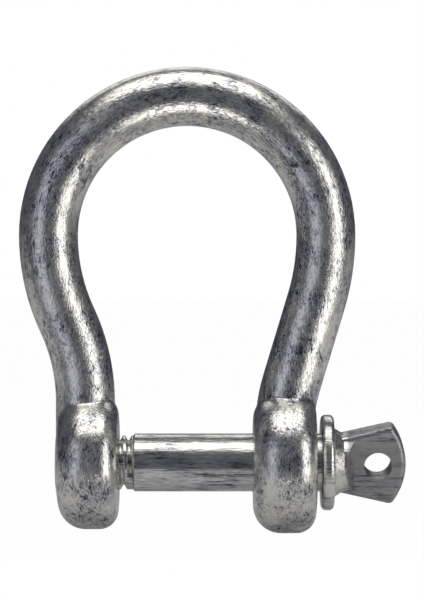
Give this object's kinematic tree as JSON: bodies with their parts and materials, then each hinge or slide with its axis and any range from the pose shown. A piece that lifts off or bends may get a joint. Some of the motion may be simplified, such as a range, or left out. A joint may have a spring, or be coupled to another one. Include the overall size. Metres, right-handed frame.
{
  "type": "bow shackle",
  "caption": "Screw-pin bow shackle in galvanised steel: a round bow with two forged eyes, closed by a threaded pin with a collar and a flat eye tab",
  "frame": {"origin": "on the pin's axis, below the centre of the bow's round top", "axes": "+X along the pin towards its tab, +Z towards the crown of the bow, +Y away from the front"},
  "size_m": [0.0668, 0.0244, 0.0806],
  "materials": {
    "bow": "hot-dip galvanised, grainy and mottled",
    "screw_pin": "galvanised, smoother, with long streaks",
    "pin_point": "galvanised"
  },
  "bodies": {
    "bow": {"bow": "bow"},
    "pin_point": {"pin_point": "pin_point"},
    "screw_pin": {"screw_pin": "screw_pin"}
  },
  "joints": [
    {"name": "pin_travel", "type": "slide", "parent": "bow", "child": "pin_point", "axis": [1, 0, 0], "range_m": [-0.00058, 0.045]},
    {"name": "pin_turn", "type": "hinge", "parent": "pin_point", "child": "screw_pin", "pos_m": [0, 0, 0], "axis": [1, 0, 0], "range_deg": [-139.4, 10801]}
  ],
  "couplings": [
    {"joint": "pin_turn", "follows": "pin_travel", "rad_per_m": 4188.8}
  ]
}
